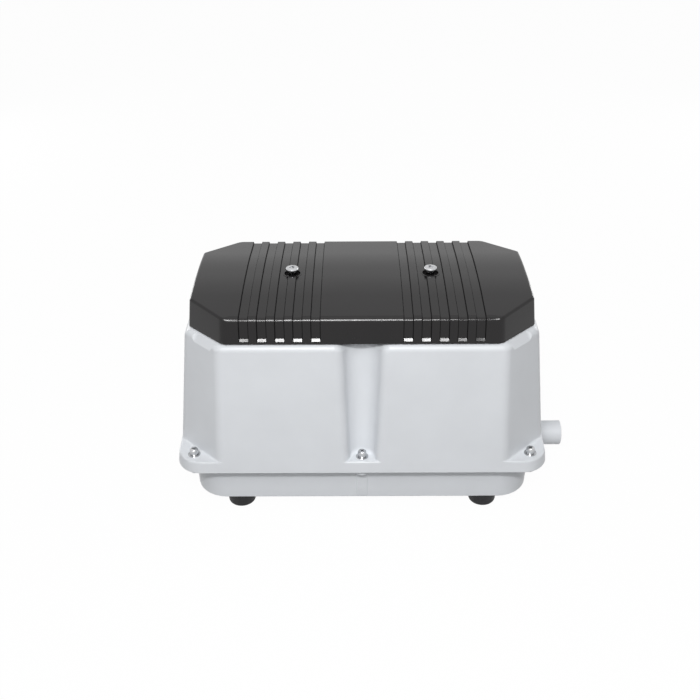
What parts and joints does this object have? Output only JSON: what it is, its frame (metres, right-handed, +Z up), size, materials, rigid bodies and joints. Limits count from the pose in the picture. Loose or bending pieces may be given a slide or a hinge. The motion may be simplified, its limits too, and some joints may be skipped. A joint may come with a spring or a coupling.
{
  "type": "linear diaphragm air pump",
  "caption": "Twin-unit linear diaphragm air pump: white cast housing on a tank pan, black ribbed filter cover, side outlet spigot and rubber feet.",
  "frame": {"origin": "on the ground plane, under the middle of the whole length with the outlet spigot; the pan and housing are centred 16.5 mm to the -X side of it", "axes": "+Z up, +X along the pump towards the outlet spigot, -Y towards the front"},
  "size_m": [0.413, 0.2186, 0.2398],
  "materials": {
    "paint": "gloss enamel over a die casting",
    "cover_plastic": "satin moulded",
    "rubber": "matt moulded",
    "foam": "open-cell foam",
    "zinc_steel": "zinc plated",
    "plate_steel": "galvanised sheet",
    "core_steel": "varnished laminations",
    "copper_wire": "enamelled winding",
    "cast_aluminium": "as cast",
    "magnet": "sintered",
    "natural_plastic": "moulded nylon",
    "black_plastic": "moulded",
    "felt": "needled felt",
    "lead_insulation": "sleeving"
  },
  "bodies": {
    "root": {"base_pan": "paint", "outlet_spigot": "paint", "front_left_foot": "rubber", "front_right_foot": "rubber", "rear_left_foot": "rubber", "rear_right_foot": "rubber", "foot_screws": "zinc_steel", "tank_gasket": "rubber", "tank_plate": "plate_steel", "housing_gasket": "rubber", "upper_housing": "paint", "flange_screws": "zinc_steel", "flange_spring_washers": "zinc_steel", "flange_washers": "zinc_steel", "cord_grommet": "rubber", "air_filter": "felt", "terminal_block": "natural_plastic", "coil_leads": "lead_insulation", "rubber_mounts": "rubber", "head_screws": "zinc_steel", "stop_switches": "black_plastic", "left_frame": "plate_steel", "left_cores": "core_steel", "left_bobbins": "natural_plastic", "left_coils": "copper_wire", "left_pump_heads": "cast_aluminium", "left_head_covers": "cast_aluminium", "left_discharge_sleeves": "rubber", "left_diaphragms": "rubber", "right_frame": "plate_steel", "right_cores": "core_steel", "right_bobbins": "natural_plastic", "right_coils": "copper_wire", "right_pump_heads": "cast_aluminium", "right_head_covers": "cast_aluminium", "right_discharge_sleeves": "rubber", "right_diaphragms": "rubber"},
    "cover": {"filter_cover": "cover_plastic", "cover_seal": "foam", "cover_screws": "zinc_steel", "cover_screw_retainers": "natural_plastic"},
    "left_shuttle": {"left_shuttle_bar": "cast_aluminium", "left_magnets": "magnet", "left_clamp_plates": "zinc_steel", "left_rod_nuts": "zinc_steel"},
    "left_front_suction_flap": {"left_front_suction_flap": "rubber"},
    "left_front_discharge_flap": {"left_front_discharge_flap": "rubber"},
    "left_rear_suction_flap": {"left_rear_suction_flap": "rubber"},
    "left_rear_discharge_flap": {"left_rear_discharge_flap": "rubber"},
    "right_shuttle": {"right_shuttle_bar": "cast_aluminium", "right_magnets": "magnet", "right_clamp_plates": "zinc_steel", "right_rod_nuts": "zinc_steel"},
    "right_front_suction_flap": {"right_front_suction_flap": "rubber"},
    "right_front_discharge_flap": {"right_front_discharge_flap": "rubber"},
    "right_rear_suction_flap": {"right_rear_suction_flap": "rubber"},
    "right_rear_discharge_flap": {"right_rear_discharge_flap": "rubber"}
  },
  "joints": [
    {"name": "cover_lift", "type": "slide", "parent": "root", "child": "cover", "axis": [0, 0, 1], "range_m": [0, 0.07]},
    {"name": "left_shuttle_slide", "type": "slide", "parent": "root", "child": "left_shuttle", "axis": [0, 1, 0], "range_m": [-0.0025, 0.0025], "stiffness_N_per_m": 6000, "deforming": ["left_diaphragms"]},
    {"name": "left_front_suction_flap_hinge", "type": "hinge", "parent": "root", "child": "left_front_suction_flap", "pos_m": [-0.1025, -0.0679, 0.147], "axis": [1, 0, 0], "range_deg": [0, 10], "stiffness_Nm_per_rad": 0.0005},
    {"name": "left_front_discharge_flap_hinge", "type": "hinge", "parent": "root", "child": "left_front_discharge_flap", "pos_m": [-0.1025, -0.0721, 0.124], "axis": [-1, 0, 0], "range_deg": [0, 10], "stiffness_Nm_per_rad": 0.0005},
    {"name": "left_rear_suction_flap_hinge", "type": "hinge", "parent": "root", "child": "left_rear_suction_flap", "pos_m": [-0.1025, 0.0679, 0.147], "axis": [-1, 0, 0], "range_deg": [0, 10], "stiffness_Nm_per_rad": 0.0005},
    {"name": "left_rear_discharge_flap_hinge", "type": "hinge", "parent": "root", "child": "left_rear_discharge_flap", "pos_m": [-0.1025, 0.0721, 0.124], "axis": [1, 0, 0], "range_deg": [0, 10], "stiffness_Nm_per_rad": 0.0005},
    {"name": "right_shuttle_slide", "type": "slide", "parent": "root", "child": "right_shuttle", "axis": [0, 1, 0], "range_m": [-0.0025, 0.0025], "stiffness_N_per_m": 6000, "deforming": ["right_diaphragms"]},
    {"name": "right_front_suction_flap_hinge", "type": "hinge", "parent": "root", "child": "right_front_suction_flap", "pos_m": [0.0695, -0.0679, 0.147], "axis": [1, 0, 0], "range_deg": [0, 10], "stiffness_Nm_per_rad": 0.0005},
    {"name": "right_front_discharge_flap_hinge", "type": "hinge", "parent": "root", "child": "right_front_discharge_flap", "pos_m": [0.0695, -0.0721, 0.124], "axis": [-1, 0, 0], "range_deg": [0, 10], "stiffness_Nm_per_rad": 0.0005},
    {"name": "right_rear_suction_flap_hinge", "type": "hinge", "parent": "root", "child": "right_rear_suction_flap", "pos_m": [0.0695, 0.0679, 0.147], "axis": [-1, 0, 0], "range_deg": [0, 10], "stiffness_Nm_per_rad": 0.0005},
    {"name": "right_rear_discharge_flap_hinge", "type": "hinge", "parent": "root", "child": "right_rear_discharge_flap", "pos_m": [0.0695, 0.0721, 0.124], "axis": [1, 0, 0], "range_deg": [0, 10], "stiffness_Nm_per_rad": 0.0005}
  ]
}
